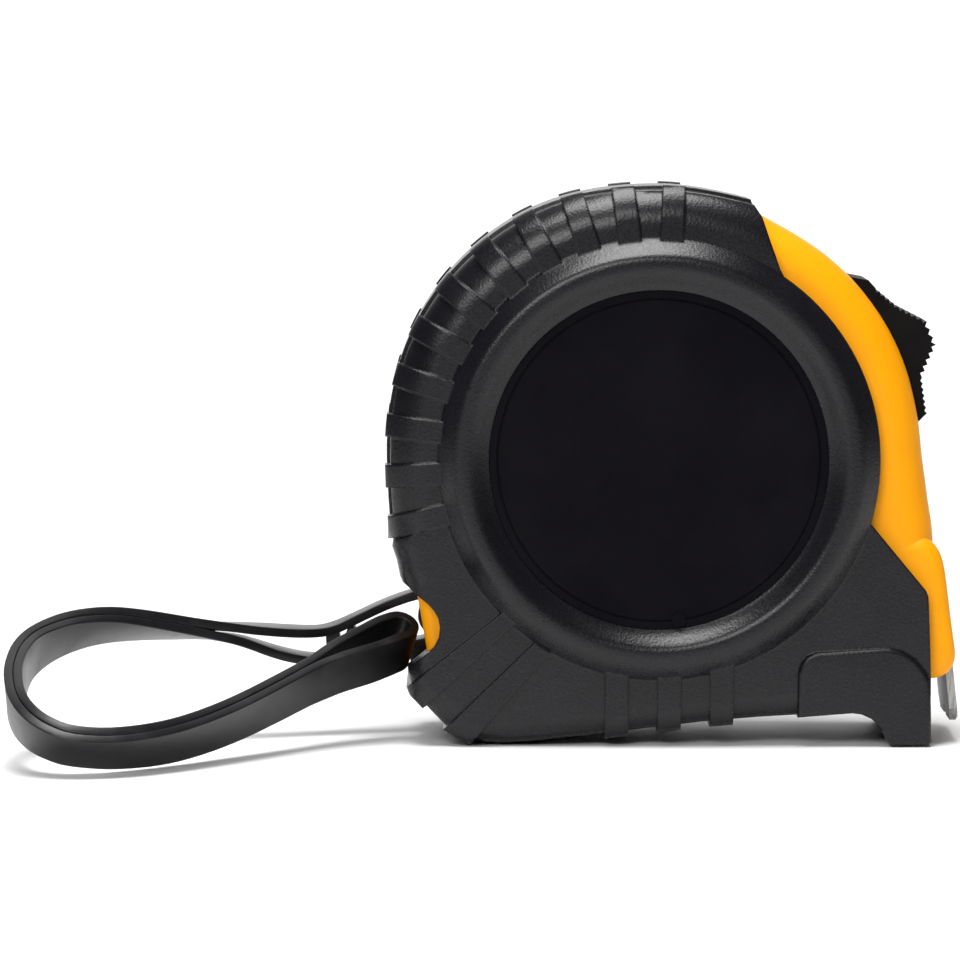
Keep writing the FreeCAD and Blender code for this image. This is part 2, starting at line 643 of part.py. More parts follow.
def make_strap():
    main = strap_frames(smoothed(STRAP_MAIN))
    strap = band_solid(main, 2 * STRAP_LAYER + STRAP_JOIN, STRAP_WIDE + STRAP_JOIN)
    for stations in (STRAP_UPPER, STRAP_LOWER):
        frames = strap_frames(smoothed(stations))
        strap = strap.fuse(band_solid(frames, STRAP_LAYER, STRAP_WIDE))
    half = STRAP_WIDE / 2 - 0.15
    bar = slab(BAR_BACK_X, BAR_FRONT_X, BAR_Y - half, BAR_Y + half, BAR_LOW, BAR_TOP)
    eye = ring(PIN_X, PIN_Z, PIN_R + RUN, STRAP_EYE_R, STRAP_EYE_Y - half, STRAP_EYE_Y + half)
    return strap.fuse(strap_fold()).fuse(bar).fuse(eye)


def make_clip():
    # the side line is the strip's outside, its inside lies one thickness in from it
    inside = []
    for i, (y, z) in enumerate(CLIP_SIDE):
        ya, za = CLIP_SIDE[max(i - 1, 0)]
        yb, zb = CLIP_SIDE[min(i + 1, len(CLIP_SIDE) - 1)]
        length = math.hypot(yb - ya, zb - za)
        inside.append((y + (zb - za) / length * CLIP_THICK, z - (yb - ya) / length * CLIP_THICK))
    loop = list(CLIP_SIDE) + inside[::-1]
    face = Part.Face(Part.makePolygon([vec(-CLIP_HALF, y, z) for y, z in loop + loop[:1]]))
    clip = face.extrude(vec(2 * CLIP_HALF, 0, 0))
    return clip.cut(rod(0, AXIS_Z, SCREW_R, 10, 17))


def make_screw(x, z, head_at, tip, head):
    screw = rod(x, z, SCREW_R, tip, head_at)
    screw = screw.fuse(rod(x, z, SCREW_HEAD_R, head_at - head, head_at))
    half = DRIVE_SLOT / 2
    low = head_at - DRIVE_DEPTH
    slot = slab(x - DRIVE_R, x + DRIVE_R, low, head_at + 1, z - half, z + half)
    cross = slab(x - half, x + half, low, head_at + 1, z - DRIVE_R, z + DRIVE_R)
    return screw.cut(slot.fuse(cross))


def place(name, shape):
    shape = shape.copy()
    shape.translate(vec(-FOOT_X, 0, 0))
    solids = shape.Solids
    if len(solids) == 1:
        shape = solids[0]
    shape.exportStep(f"parts/{name}.step")
    box = shape.BoundBox
    print(f"{name:14s} solids {len(solids)} valid {shape.isValid()} vol {shape.Volume:9.1f} "
          f"X {box.XMin:7.2f} {box.XMax:7.2f} Y {box.YMin:7.2f} {box.YMax:7.2f} "
          f"Z {box.ZMin:7.2f} {box.ZMax:7.2f}")


os.makedirs("parts", exist_ok=True)

BLADE_LOW = BLADE_EDGE_Z - BLADE_SAG - BLADE_THICK
BLADE_CURVE = (BLADE_HALF ** 2 + BLADE_SAG ** 2) / (2 * BLADE_SAG)
RIVETS = {"rivet_front": (34.6, 0.0), "rivet_left": (31.4, -4.6), "rivet_right": (31.4, 4.6)}

core = make_core()
left_shell, right_shell = make_shells(core)
place("left_shell", left_shell)
place("right_shell", right_shell)
left_grip, right_grip = make_grips(core)
place("left_grip", left_grip)
place("right_grip", right_grip)
place("left_disc", make_disc(-1))
place("right_disc", make_disc(1).cut(rod(0, AXIS_Z, SCREW_R, 10, 20)))
place("centre_post", rod(0, AXIS_Z, POST_R, -CAVITY_HALF, CAVITY_HALF))
place("power_spring", make_spring())

drum = ring(0, AXIS_Z, DRUM_IN, DRUM_OUT, -DRUM_HALF, DRUM_HALF)
drum = drum.fuse(ring(0, AXIS_Z, POST_R + RUN, DRUM_IN, DRUM_HALF - WEB, DRUM_HALF))
place("spool", drum)
place("spool_cover", ring(0, AXIS_Z, POST_R + RUN, DRUM_IN, -DRUM_HALF, -DRUM_HALF + WEB))
place("blade_roll", ring(0, AXIS_Z, DRUM_OUT, COIL_R, -BLADE_HALF, BLADE_HALF))

blade = blade_section(BLADE_LOW, BLADE_THICK, BLADE_HALF, BLADE_TAIL_X, BLADE_END_X)
for name, (x, y) in RIVETS.items():
    blade = blade.cut(Part.makeCylinder(RIVET_R, 10, vec(x, y, 5)))
    place(name, make_rivet(x, y, BLADE_CURVE))
place("blade_tongue", blade)
place("end_hook", make_hook(BLADE_LOW))
place("mouth_guide", make_guide())
place("hook_bumper", make_bumper())

place("lock_button", make_button())
arm = arc_band(ARM_IN, ARM_OUT, ARM_END, ARM_TOP, ARM_HALF)
arm = arm.fuse(arc_band(ARM_OUT - 0.5, LOCK_FLOOR_R + 0.05, STEM_FROM, STEM_TO, STEM_HALF))
place("lock_arm", arm)
place("brake_pad", arc_band(ARM_IN, ARM_OUT, ARM_END - 2.0, ARM_END, ARM_HALF - 0.4))

place("strap_pin", rod(PIN_X, PIN_Z, PIN_R, -PIN_HALF, PIN_HALF))
place("wrist_strap", make_strap())
place("belt_clip", make_clip())
place("clip_screw", make_screw(0, AXIS_Z, DISC_HALF + CLIP_THICK + CLIP_SCREW_HEAD,
                               CAVITY_HALF + 0.2, CLIP_SCREW_HEAD))
for name, (x, z) in SCREWS.items():
    place(name, make_screw(x, z, SCREW_SINK, SCREW_TIP, SCREW_HEAD))
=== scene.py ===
import json
import math

import bmesh
import bpy
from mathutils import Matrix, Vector


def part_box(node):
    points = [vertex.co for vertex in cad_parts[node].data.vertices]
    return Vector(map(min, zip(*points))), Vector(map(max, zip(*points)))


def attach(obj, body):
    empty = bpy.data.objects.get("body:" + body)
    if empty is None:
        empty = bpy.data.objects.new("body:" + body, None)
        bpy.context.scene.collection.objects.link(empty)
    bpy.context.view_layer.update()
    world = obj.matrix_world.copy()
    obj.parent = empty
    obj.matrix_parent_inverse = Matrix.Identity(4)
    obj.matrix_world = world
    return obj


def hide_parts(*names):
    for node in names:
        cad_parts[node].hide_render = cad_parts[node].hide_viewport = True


# Looks for a pocket tape measure. Lengths in the small tables are millimetres.

MM = 0.001

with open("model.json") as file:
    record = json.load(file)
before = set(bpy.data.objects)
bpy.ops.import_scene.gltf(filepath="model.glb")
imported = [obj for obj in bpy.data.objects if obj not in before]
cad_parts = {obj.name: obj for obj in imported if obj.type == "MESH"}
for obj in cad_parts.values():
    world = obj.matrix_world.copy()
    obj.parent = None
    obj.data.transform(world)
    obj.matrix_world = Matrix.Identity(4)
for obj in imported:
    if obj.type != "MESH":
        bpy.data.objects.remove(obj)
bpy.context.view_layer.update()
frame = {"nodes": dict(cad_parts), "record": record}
nodes = frame["nodes"]

post_low, post_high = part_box("centre_post")
SPOOL_X = (post_low.x + post_high.x) / 2
SPOOL_Z = (post_low.z + post_high.z) / 2


def at(x, y, z):
    # a point given in mm from the spool's axis, the case's middle and the ground
    return Vector((SPOOL_X + x * MM, y * MM, z * MM))


# --- shader maths -----------------------------------------------------------------------

class Field:
    """A number that changes over a surface. Sums written with it become Math nodes."""

    def __init__(self, finish, socket):
        self.finish = finish
        self.socket = socket

    def sum(self, operation, *values, clamp=False):
        return self.finish.node("ShaderNodeMath", {"operation": operation, "use_clamp": clamp},
                                {i: v for i, v in enumerate(values)})

    def __add__(self, other):
        return self.sum("ADD", self, other)

    __radd__ = __add__

    def __sub__(self, other):
        return self.sum("SUBTRACT", self, other)

    def __rsub__(self, other):
        return self.sum("SUBTRACT", other, self)

    def __mul__(self, other):
        return self.sum("MULTIPLY", self, other)

    __rmul__ = __mul__

    def __truediv__(self, other):
        return self.sum("DIVIDE", self, other)

    def __rtruediv__(self, other):
        return self.sum("DIVIDE", other, self)

    def __pow__(self, other):
        return self.sum("POWER", self, other)

    def __lt__(self, other):
        return self.sum("LESS_THAN", self, other)

    def __gt__(self, other):
        return self.sum("GREATER_THAN", self, other)

    def __abs__(self):
        return self.sum("ABSOLUTE", self)

    def cycle(self, length):
        # distance to the nearest whole multiple of length
        return self.sum("PINGPONG", self, length / 2)

    def clamped(self):
        return self.sum("ADD", self, 0.0, clamp=True)

    def ease(self, low, high):
        # 0 below low, 1 above high and a soft step between
        return self.finish.node("ShaderNodeMapRange", {"interpolation_type": "SMOOTHSTEP"},
                                {"Value": self, "From Min": low, "From Max": high})


class Finish:
    """One material: its constant sockets, and the nodes that vary over the surface."""

    def __init__(self, name, colour, gloss=0.5, metallic=0.0, coat=0.0, coat_roughness=0.2):
        self.material = bpy.data.materials.new(name)
        self.material.use_nodes = True
        self.tree = self.material.node_tree
        self.shader = self.tree.nodes["Principled BSDF"]
        self.shader.inputs["Base Color"].default_value = (*colour, 1.0)
        self.material.diffuse_color = (*colour, 1.0)
        self.shader.inputs["Specular IOR Level"].default_value = gloss
        self.shader.inputs["Metallic"].default_value = metallic
        self.shader.inputs["Coat Weight"].default_value = coat
        self.shader.inputs["Coat Roughness"].default_value = coat_roughness

    def node(self, kind, settings=None, inputs=None, output=0):
        made = self.tree.nodes.new(kind)
        for key, value in (settings or {}).items():
            setattr(made, key, value)
        for key, value in (inputs or {}).items():
            self.feed(made.inputs[key], value)
        return Field(self, made.outputs[output])

    def feed(self, socket, value):
        if isinstance(value, Field):
            self.tree.links.new(value.socket, socket)
        elif socket.type == "RGBA" and len(value) == 3:
            socket.default_value = (*value, 1.0)
        else:
            socket.default_value = value

    def place(self):
        return self.node("ShaderNodeTexCoord", output="Object")

    def axes(self):
        split = self.node("ShaderNodeSeparateXYZ", None, {"Vector": self.place()})
        outputs = split.socket.node.outputs
        return [Field(self, outputs[i]) for i in range(3)]

    def noise(self, size_mm, detail=3.0, rough=0.55, stretch=(1, 1, 1)):
        spot = self.node("ShaderNodeVectorMath", {"operation": "MULTIPLY"},
                         {0: self.place(), 1: tuple(s / (size_mm * MM) for s in stretch)})
        return self.node("ShaderNodeTexNoise", None,
                         {"Vector": spot, "Scale": 1.0, "Detail": detail, "Roughness": rough})

    def pebbles(self, size_mm):
        return self.node("ShaderNodeTexVoronoi", {"feature": "SMOOTH_F1"},
                         {"Vector": self.place(), "Scale": 1 / (size_mm * MM)}, "Distance")

    def mix(self, share, first, second):
        # a colour mix: its share is input 0, its colours 6 and 7, its result output 2
        return self.node("ShaderNodeMix", {"data_type": "RGBA"},
                         {0: share, 6: first, 7: second}, 2)

    def colour(self, value):
        self.feed(self.shader.inputs["Base Color"], value)

    def roughness(self, value):
        self.feed(self.shader.inputs["Roughness"], value)

    def round_edges(self, radius_mm):
        # the small round that every moulded corner has
        made = self.node("ShaderNodeBevel", {"samples": 6}, {"Radius": radius_mm * MM})
        self.feed(self.shader.inputs["Normal"], made)

    def bump(self, height, depth_mm):
        # goes on top of any bump or rounded edge that is already there
        inputs = {"Height": height, "Distance": depth_mm * MM, "Strength": 1.0}
        normal = self.shader.inputs["Normal"]
        if normal.is_linked:
            inputs["Normal"] = Field(self, normal.links[0].from_socket)
        self.feed(normal, self.node("ShaderNodeBump", None, inputs))


# --- finishes ---------------------------------------------------------------------------

def yellow_abs():
    finish = Finish("yellow ABS", (0.92, 0.36, 0.001), gloss=0.16, coat=0.04,
                    coat_roughness=0.3)
    cloud = finish.noise(9.0, 2.0)
    fine = finish.noise(0.5, 4.0)
    scuff = finish.noise(2.2, 6.0, 0.7, (0.25, 1, 1)).ease(0.68, 0.82)
    body = finish.mix(cloud.ease(0.3, 0.75), (0.93, 0.365, 0.0008), (0.90, 0.34, 0.0008))
    finish.colour(finish.mix(scuff * 0.2, body, (0.95, 0.48, 0.06)))
    finish.roughness(0.34 + cloud * 0.10 + fine * 0.08 + scuff * 0.15)
    finish.round_edges(0.3)
    finish.bump(fine, 0.005)
    return finish.material


def pebbled_rubber():
    finish = Finish("pebbled rubber", (0.005, 0.0045, 0.006), gloss=0.34)
    pebble = finish.pebbles(0.32).ease(0.1, 0.75)
    grit = finish.noise(0.16, 2.0)
    patch = finish.noise(7.0, 3.0)
    dust = (finish.noise(1.6, 6.0, 0.7).ease(0.58, 0.78) * patch.ease(0.4, 0.7)).clamped()
    base = finish.mix(patch.ease(0.3, 0.7), (0.0034, 0.0029, 0.0046), (0.0056, 0.005, 0.0072))
    # painted shade: the dips between the pebbles are mixed towards a darker colour
    base = finish.mix(pebble * 0.3, base, (0.0024, 0.0021, 0.0032))
    finish.colour(finish.mix(dust * 0.1, base, (0.035, 0.034, 0.036)))
    finish.roughness(0.21 + grit * 0.10 + pebble * 0.08 + dust * 0.12)
    finish.round_edges(0.4)
    finish.bump(1 - pebble, 0.010)
    finish.bump(grit, 0.004)
    return finish.material


def matte_disc():
    finish = Finish("matte black disc", (0.003, 0.0025, 0.004), gloss=0.065)
    spark = finish.noise(0.22, 2.0)
    cloud = finish.noise(11.0, 3.0)
    finish.colour(finish.mix(cloud.ease(0.3, 0.7), (0.0026, 0.0021, 0.0036),
                             (0.0042, 0.0036, 0.0052)))
    finish.roughness(0.74 + spark * 0.14)
    finish.bump(spark, 0.008)
    return finish.material


def strap_rubber():
    finish = Finish("strap rubber", (0.006, 0.006, 0.007), gloss=0.36)
    skin = finish.noise(0.3, 4.0)
    drag = finish.noise(2.4, 5.0, 0.65)
    bloom = finish.noise(5.0, 4.0).ease(0.45, 0.72)
    base = finish.mix(drag.ease(0.3, 0.7), (0.0042, 0.004, 0.005), (0.0072, 0.007, 0.0085))
    finish.colour(finish.mix(bloom * 0.2, base, (0.03, 0.03, 0.033)))
    finish.roughness(0.28 + skin * 0.14 + bloom * 0.08)
    finish.bump(skin, 0.006)
    finish.bump(drag, 0.012)
    return finish.material


def lock_plastic():
    finish = Finish("lock black", (0.003, 0.0026, 0.0026), gloss=0.08)
    fine = finish.noise(0.3, 3.0)
    patch = finish.noise(3.5, 4.0)
    finish.colour(finish.mix(patch.ease(0.3, 0.7), (0.0024, 0.002, 0.002),
                             (0.0045, 0.0038, 0.0038)))
    finish.roughness(0.42 + fine * 0.16 + patch * 0.08)
    finish.round_edges(0.15)
    finish.bump(fine, 0.015)
    return finish.material


def soft_rubber():
    finish = Finish("soft black rubber", (0.02, 0.02, 0.02), gloss=0.35)
    fine = finish.noise(0.4, 4.0)
    finish.colour(finish.mix(fine, (0.016, 0.016, 0.016), (0.03, 0.03, 0.031)))
    finish.roughness(0.6 + fine * 0.2)
    finish.bump(fine, 0.03)
    return finish.material


def plain_plastic(name, dark, light, rough):
    finish = Finish(name, dark, gloss=0.4)
    cloud = finish.noise(4.0, 4.0)
    fine = finish.noise(0.35, 3.0)
    finish.colour(finish.mix(cloud.ease(0.3, 0.7), dark, light))
    finish.roughness(rough + fine * 0.15)
    finish.bump(fine, 0.01)
    return finish.material


def steel(name, dark, light, rough, grain=(0.06, 1, 1), pits=0.0):
    finish = Finish(name, light, metallic=1.0)
    brushed = finish.noise(0.25, 4.0, 0.6, grain)
    cloud = finish.noise(3.0, 4.0)
    pit = finish.noise(0.6, 5.0, 0.7).ease(0.62, 0.74)
    tone = finish.mix(brushed.ease(0.25, 0.75), dark, light)
    finish.colour(finish.mix((pit * pits + cloud.ease(0.5, 0.8) * 0.2).clamped(), tone, dark))
    finish.roughness(rough + brushed * 0.14 + pit * 0.2 * pits)
    finish.bump(brushed, 0.006)
    return finish.material


BLADE_HALF = 9.5


def blade_enamel():
    # yellow enamel with a tick each millimetre, longer ones at five and ten
    finish = Finish("blade enamel", (0.95, 0.62, 0.02), gloss=0.5, coat=0.5,
                    coat_roughness=0.15)
    x, y, _ = finish.axes()
    edge = BLADE_HALF * MM - abs(y)
    end_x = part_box("blade_tongue")[1].x
    along = x - end_x

    def ticks(step_mm, length_mm, width_mm):
        return (along.cycle(step_mm * MM) < width_mm * MM / 2) * (edge < length_mm * MM)

    marks = (ticks(1, 3.0, 0.22) + ticks(5, 4.6, 0.24) + ticks(10, 7.2, 0.3)).clamped()
    red = (along.cycle(100 * MM) < 0.9 * MM) * (abs(y) < 3 * MM)
    wear = finish.noise(1.8, 6.0, 0.7).ease(0.6, 0.78)
    tone = finish.mix(wear * 0.3, (0.93, 0.60, 0.012), (0.80, 0.55, 0.08))
    tone = finish.mix(marks * (1 - wear * 0.3), tone, (0.015, 0.014, 0.013))
    finish.colour(finish.mix(red, tone, (0.62, 0.02, 0.015)))
    finish.roughness(0.3 + wear * 0.2)
    finish.bump(marks, 0.01)
    return finish.material


COIL_LINE = 0.16


def coil_edge():
    # the wound tape: fine rings about the spool on its two faces
    finish = Finish("wound blade", (0.7, 0.5, 0.08), metallic=0.35)
    x, _, z = finish.axes()
    from_x = x - SPOOL_X
    from_z = z - SPOOL_Z
    radius = (from_x * from_x + from_z * from_z) ** 0.5
    line = radius.cycle(COIL_LINE * MM) / (COIL_LINE / 2 * MM)
    grime = finish.noise(1.2, 5.0, 0.7).ease(0.5, 0.8)
    tone = finish.mix(line.ease(0.2, 0.7), (0.25, 0.2, 0.1), (0.82, 0.58, 0.09))
    finish.colour(finish.mix(grime * 0.4, tone, (0.2, 0.17, 0.11)))
    finish.roughness(0.35 + grime * 0.2)
    finish.bump(line, 0.02)
    return finish.material


FINISHES = {
    "yellow_shell": yellow_abs(),
    "grip_rubber": pebbled_rubber(),
    "disc_black": matte_disc(),
    "strap_rubber": strap_rubber(),
    "lock_black": lock_plastic(),
    "bumper_rubber": soft_rubber(),
    "guide_plastic": plain_plastic("black guide", (0.012, 0.012, 0.013),
                                   (0.022, 0.022, 0.023), 0.4),
    "spool_plastic": plain_plastic("natural nylon", (0.6, 0.58, 0.53), (0.72, 0.70, 0.66), 0.4),
    "post_steel": steel("turned steel", (0.42, 0.42, 0.43), (0.66, 0.66, 0.67), 0.25,
                        (1, 0.06, 1)),
    "spring_steel": steel("blued spring", (0.12, 0.15, 0.24), (0.33, 0.36, 0.44), 0.3,
                          (1, 0.1, 1)),
    "hook_steel": steel("plated hook", (0.22, 0.22, 0.215), (0.46, 0.455, 0.44), 0.34,
                        (1, 1, 0.12), 0.5),
    "rivet_steel": steel("rivet", (0.45, 0.44, 0.42), (0.7, 0.69, 0.66), 0.25),
    "clip_steel": steel("bright clip", (0.30, 0.30, 0.30), (0.44, 0.44, 0.44), 0.26,
                        (1, 1, 0.08), 0.2),
    "screw_steel": steel("black oxide screw", (0.03, 0.03, 0.032), (0.10, 0.10, 0.105), 0.35),
    "blade_enamel": blade_enamel(),
}
WOUND_BLADE = coil_edge()

# corners sharper than this stay crisp, and points closer than the seam are joined
CORNER_ANGLE = math.radians(28)
SEAM = 0.002


def soften(thing):
    # joins the seams and shades round surfaces smooth, keeping the real corners
    thing.data.polygons.foreach_set("use_smooth", [True] * len(thing.data.polygons))
    weld = thing.modifiers.new("join seams", "WELD")
    weld.merge_threshold = SEAM * MM
    split = thing.modifiers.new("keep corners", "EDGE_SPLIT")
    split.split_angle = CORNER_ANGLE


def dress_nodes():
    slots = {part["node"]: part["material_slot"] for part in frame["record"]["subparts"]}
    for name, thing in nodes.items():
        look = WOUND_BLADE if name == "blade_roll" else FINISHES[slots[name]]
        thing.data.materials.clear()
        thing.data.materials.append(look)
        soften(thing)


# --- wrist strap --------------------------------------------------------------------------

# one long rubber band, doubled: x, y, z of the middle, and how far its top leans forward,
# in degrees from standing on its edge
STRAP_MAIN = (
    (-44.7, -17.8, 8.5, 46), (-52.4, -28.5, 5.5, 51), (-59.6, -38.0, 3.65, 55),
    (-66.9, -45.2, 3.2, 56), (-73.6, -47.2, 3.8, 52), (-78.0, -44.4, 5.6, 48),
    (-80.3, -38.4, 7.8, 46), (-80.9, -31.0, 10.3, 48), (-79.8, -23.6, 12.6, 52),
    (-76.2, -17.4, 14.4, 57), (-71.0, -12.8, 15.2, 63), (-64.7, -9.2, 14.8, 72),
    (-57.2, -6.2, 13.9, 84),
)
STRAP_UPPER = (
    (-58.3, -6.7, 14.6, 82), (-56.9, -6.1, 14.5, 84), (-53.3, -4.2, 14.1, 88),
    (-49.4, -2.4, 13.7, 90), (-45.5, -0.6, 13.4, 90), (-42.4, 0.8, 13.6, 90),
    (-39.2, 2.0, 14.8, 90), (-35.6, 3.0, 16.4, 90), (-32.0, 3.4, 17.7, 90),
    (-28.6, 3.4, 18.5, 90),
)
STRAP_LOWER = (
    (-58.3, -6.7, 13.4, 82), (-56.9, -6.1, 13.2, 84), (-53.3, -4.2, 12.3, 88),
    (-49.4, -2.4, 10.9, 90), (-45.5, -0.6, 9.9, 90), (-42.4, 0.8, 9.7, 90),
    (-39.2, 2.0, 9.9, 90), (-35.6, 3.0, 10.6, 90), (-32.0, 3.4, 11.4, 90),
    (-28.6, 3.4, 12.05, 90),
)
# the folded far end: as above, with half the gap between its two layers
STRAP_FOLD = (
    (-45.6, -19.1, 8.15, 46, 0.58), (-44.7, -17.8, 8.5, 46, 0.62),
    (-41.2, -13.4, 10.0, 46, 1.2), (-37.6, -9.6, 11.2, 46, 1.75),
    (-35.1, -7.1, 12.1, 46, 1.95), (-33.8, -6.0, 12.5, 46, 1.9),
)
STRAP_WIDE = 6.4
STRAP_LAYER = 1.15
STRAP_EDGE = 0.17
LAYER_GAP = 0.03
PIN = (-28.2, 3.4, 15.3)
PIN_R = 1.5
PIN_GAP = 0.06
# the band's middle line runs round the pin at EYE_R, over a short sleeve
EYE_R = 3.22
EYE_HALF = 3.0
EYE_WALL_GAP = 0.5
EYE_STEPS = 32
EYE_DEGREES = (-60, -30, 0, 30, 60)
FOLD_STEPS = 6
# middle, size, edge round and tilt in degrees
CROSS_BAR = ((-41.9, 0.8, 11.75), (1.8, 6.0, 4.1), 0.25, 4)
SHORT_TAB = ((-39.75, 0.9, 12.9), (1.1, 4.4, 2.2), 0.25, -18)
BAND_CORNER = math.radians(50)


def smooth_line(rows, parts, closed=False):
    # passes a smooth line through rows whose first three values are a place
    count = len(rows)
    spans = count if closed else count - 1
    gaps = [math.dist(rows[i][:3], rows[(i + 1) % count][:3]) for i in range(spans)]

    def slope(i):
        if closed:
            before, after = (i - 1) % count, (i + 1) % count
            length = gaps[before] + gaps[i % count]
        else:
            before, after = max(i - 1, 0), min(i + 1, count - 1)
            length = sum(gaps[before:after])
        return [(b - a) / length for a, b in zip(rows[before], rows[after])]

    result = []
    for i in range(spans):
        nearby = list(zip(rows[i], rows[(i + 1) % count], slope(i), slope((i + 1) % count)))
        for k in range(parts):
            t = k / parts
            share = 1 - 3 * t ** 2 + 2 * t ** 3
            start = (t - 2 * t ** 2 + t ** 3) * gaps[i]
            end = (t ** 3 - t ** 2) * gaps[i]
            result.append(tuple(a * share + b * (1 - share) + start * ma + end * mb
                                for a, b, ma, mb in nearby))
    if not closed:
        result.append(tuple(rows[-1]))
    return result


def strap_frames(rows):
    # place, width direction and thickness direction along a flat band
    frames = []
    for i, row in enumerate(rows):
        before = Vector(rows[max(i - 1, 0)][:3])
        after = Vector(rows[min(i + 1, len(rows) - 1)][:3])
        along = (after - before).normalized()
        lean = math.radians(row[3])
        tilt = Vector((0, -math.sin(lean), math.cos(lean)))
        wide = (tilt - along * tilt.dot(along)).normalized()
        frames.append((Vector(row[:3]), wide, along.cross(wide).normalized()))
    return frames


def strap_course():
    # once round the whole band: out on the upper layer, round the fold, back on the lower one
    main = strap_frames(smooth_line(STRAP_MAIN, 2))[1:-1]
    upper = strap_frames(smooth_line(STRAP_UPPER, 2))[2:]
    lower = strap_frames(smooth_line(STRAP_LOWER, 2))[2:]
    fold_rows = smooth_line(STRAP_FOLD, 2)
    fold = list(zip(strap_frames(fold_rows), (row[4] for row in fold_rows)))[2:]
    half = (STRAP_LAYER + LAYER_GAP) / 2
    course = [(mid, wide, -deep) for mid, wide, deep in reversed(upper)]
    course += [(mid - deep * half, wide, -deep) for mid, wide, deep in reversed(main)]
    course += [(mid + deep * gap, wide, deep) for (mid, wide, deep), gap in fold]
    (mid, wide, deep), gap = fold[-1]
    along = wide.cross(deep)
    for k in range(1, FOLD_STEPS):
        a = math.pi / 2 - math.pi * k / FOLD_STEPS
        out = along * math.cos(a) + deep * math.sin(a)
        course.append((mid + out * gap, wide, out))
    course += [(mid - deep * gap, wide, -deep) for (mid, wide, deep), gap in reversed(fold)]
    course += [(mid + deep * half, wide, deep) for mid, wide, deep in main]
    course += list(lower)
    for degrees in EYE_DEGREES:
        a = math.radians(degrees)
        out = Vector((math.cos(a), 0, math.sin(a)))
        course.append((Vector(PIN) + out * EYE_R, Vector((0, -1, 0)), out))
    return course


def band_section(half_width, half_thick, edge, steps=4):
    # a rectangle with rounded corners, as (across, outward) pairs
    points = []
    for ca, cb, first in ((1, 1, 0), (-1, 1, 90), (-1, -1, 180), (1, -1, 270)):
        for k in range(steps + 1):
            a = math.radians(first + 90 * k / steps)
            points.append((ca * (half_width - edge) + edge * math.cos(a),
                           cb * (half_thick - edge) + edge * math.sin(a)))
    return points


def skin(mesh, rings, closed=True):
    # covers a row of rings with quads, and caps the ends of a row that is not closed
    corners = [[mesh.verts.new(at(*spot)) for spot in ring] for ring in rings]
    following = corners[1:] + corners[:1] if closed else corners[1:]
    for ring, after in zip(corners, following):
        for k in range(len(ring)):
            n = (k + 1) % len(ring)
            mesh.faces.new((ring[k], ring[n], after[n], after[k]))
    if not closed:
        mesh.faces.new(corners[0])
        mesh.faces.new(corners[-1])


def soft_block(mesh, middle, size, edge, tilt):
    # a block with rounded edges, turned about the across line
    made = bmesh.ops.create_cube(mesh, size=1.0)["verts"]
    for vert in made:
        x, y, z = (vert.co[i] * size[i] for i in range(3))
        a = math.radians(tilt)
        vert.co = at(middle[0] + x * math.cos(a) - z * math.sin(a), middle[1] + y,
                     middle[2] + x * math.sin(a) + z * math.cos(a))
    edges = list(dict.fromkeys(e for vert in made for e in vert.link_edges))
    bmesh.ops.bevel(mesh, geom=edges, offset=edge * MM, segments=3, profile=0.5,
                    affect="EDGES")


def eye_tube():
    # the sleeve between the band and the pin
    bore = PIN_R + PIN_GAP
    outside = EYE_R - EYE_WALL_GAP
    section = ((bore, -EYE_HALF), (bore, EYE_HALF), (outside, EYE_HALF), (outside, -EYE_HALF))
    rings = []
    for k in range(EYE_STEPS):
        a = 2 * math.pi * k / EYE_STEPS
        out = Vector((math.cos(a), 0, math.sin(a)))
        rings.append([Vector(PIN) + out * r + Vector((0, y, 0)) for r, y in section])
    return rings


def finish_piece(mesh, name, body, node, slot):
    # turns a worked mesh into a piece that rides on a body in place of its node
    data = bpy.data.meshes.new(name)
    mesh.to_mesh(data)
    mesh.free()
    data.polygons.foreach_set("use_smooth", [True] * len(data.polygons))
    data.set_sharp_from_angle(angle=BAND_CORNER)
    data.materials.append(FINISHES[slot])
    piece = bpy.data.objects.new(name, data)
    bpy.context.collection.objects.link(piece)
    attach(piece, body)
    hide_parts(node)


def make_strap():
    mesh = bmesh.new()
    rows = [tuple(mid) + tuple(wide) + tuple(out) for mid, wide, out in strap_course()]
    section = band_section(STRAP_WIDE / 2, STRAP_LAYER / 2, STRAP_EDGE)
    rings = []
    for row in smooth_line(rows, 3, closed=True):
        mid = Vector(row[:3])
        wide = Vector(row[3:6]).normalized()
        out = Vector(row[6:9])
        out = (out - wide * out.dot(wide)).normalized()
        rings.append([mid + wide * a + out * b for a, b in section])
    skin(mesh, rings)
    soft_block(mesh, *CROSS_BAR)
    soft_block(mesh, *SHORT_TAB)
    skin(mesh, eye_tube())
    bmesh.ops.recalc_face_normals(mesh, faces=mesh.faces)
    finish_piece(mesh, "strap_band", "strap", "wrist_strap", "strap_rubber")


# --- belt clip ----------------------------------------------------------------------------

# y and z along the outside of the bent strip, and its half width there
CLIP_LINE = (
    (15.3, 30.0, 7.2), (15.3, 31.2, 7.9), (15.3, 41.0, 8.0), (15.3, 52.5, 8.0),
    (16.0, 54.2, 8.0), (17.6, 55.0, 8.0), (19.3, 54.4, 8.0), (20.2, 52.6, 8.0),
    (20.2, 50.0, 8.0), (19.33, 42.0, 7.95), (18.47, 34.0, 7.8), (17.6, 26.0, 7.6),
    (17.6, 24.6, 7.5), (18.2, 23.0, 7.2), (18.9, 21.2, 5.9),
)
CLIP_SHEET = 0.9
# the size of the round along the strip's edges, and where its middle point lies
CLIP_EDGE = 0.22
CLIP_EASE = 0.7
CLIP_BEAD = 0.5
CLIP_BEAD_WIDE = 1.7
CLIP_BEAD_LOW = 28.0
CLIP_BEAD_TOP = 48.0
CLIP_BEAD_RUN = 1.5
CLIP_OUTER_LEAF = 17.0
CLIP_STEPS = 28


